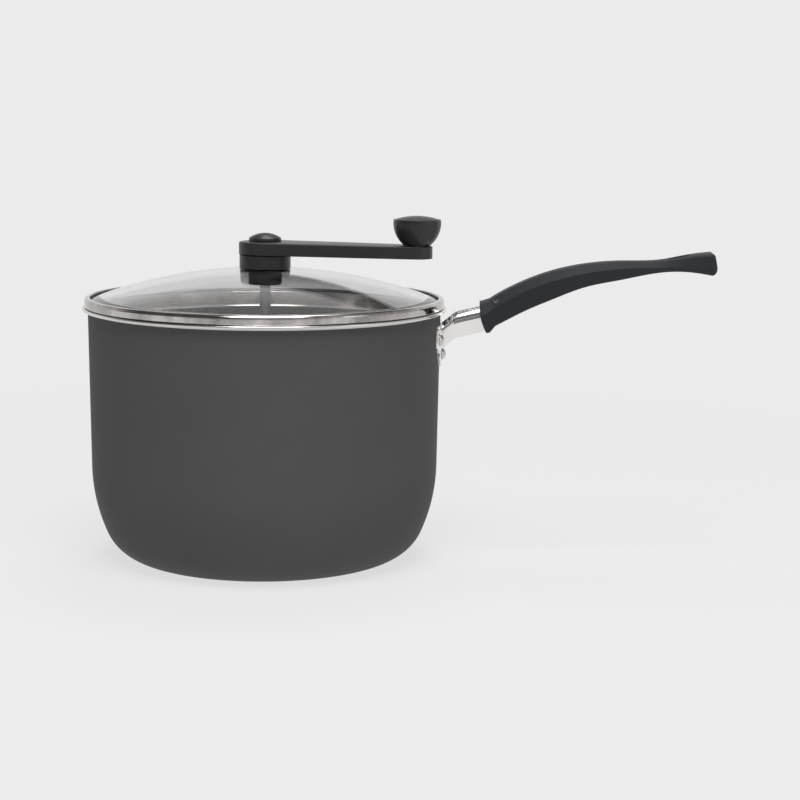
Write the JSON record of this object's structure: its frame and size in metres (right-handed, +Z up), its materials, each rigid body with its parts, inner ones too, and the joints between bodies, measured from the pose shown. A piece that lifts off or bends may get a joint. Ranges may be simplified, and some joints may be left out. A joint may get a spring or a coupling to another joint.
{
  "type": "stovetop popcorn popper",
  "caption": "Deep stovetop popcorn popper with a riveted side handle and a lift-out glass lid whose hand crank turns an agitator blade over the pan floor.",
  "frame": {"origin": "on the pan's axis, on the surface the pan stands on", "axes": "+Z up along the crank shaft, +X out along the handle, +Y to the left of the handle seen from the pan"},
  "size_m": [0.4341, 0.2501, 0.2396],
  "materials": {
    "pan_coating": "satin",
    "polished_steel": "polished",
    "rivet_aluminium": "satin",
    "grip_plastic": "satin",
    "black_moulding": "satin",
    "lid_glass": "polished",
    "dark_silicone": "matt",
    "bush_nylon": "matt",
    "shaft_steel": "satin",
    "fastener_steel": "satin"
  },
  "bodies": {
    "pot": {"pot_body": "pan_coating", "handle_bracket": "polished_steel", "handle_rivet_left": "rivet_aluminium", "handle_rivet_right": "rivet_aluminium", "handle_rivet_lower": "rivet_aluminium", "handle_grip": "grip_plastic", "grip_screw": "fastener_steel"},
    "lid": {"lid_band": "polished_steel", "lid_glass": "lid_glass", "glass_seal": "dark_silicone", "hub_housing": "black_moulding", "hub_gasket_upper": "dark_silicone", "hub_gasket_lower": "dark_silicone", "hub_nut": "black_moulding", "shaft_bush": "bush_nylon"},
    "crank": {"crank_arm": "black_moulding", "crank_shaft": "shaft_steel", "crank_washer": "bush_nylon", "crank_screw": "fastener_steel", "crank_cap": "black_moulding", "shaft_ring": "fastener_steel", "agitator_collar": "shaft_steel", "agitator_blade": "shaft_steel", "agitator_pin": "fastener_steel", "agitator_set_screw": "fastener_steel", "knob_pin": "shaft_steel", "knob_nut": "fastener_steel", "knob_thrust_washer": "bush_nylon", "knob_retaining_washer": "fastener_steel"},
    "knob": {"crank_knob": "black_moulding", "knob_cap": "black_moulding"}
  },
  "joints": [
    {"name": "lid_lift", "type": "slide", "parent": "pot", "child": "lid", "axis": [0, 0, 1], "range_m": [0, 0.2]},
    {"name": "crank_turn", "type": "hinge", "parent": "lid", "child": "crank", "pos_m": [0, 0, 0.2], "axis": [0, 0, 1], "continuous": true},
    {"name": "knob_spin", "type": "hinge", "parent": "crank", "child": "knob", "pos_m": [0.10525, -0.02237, 0.225], "axis": [0, 0, 1], "continuous": true}
  ]
}
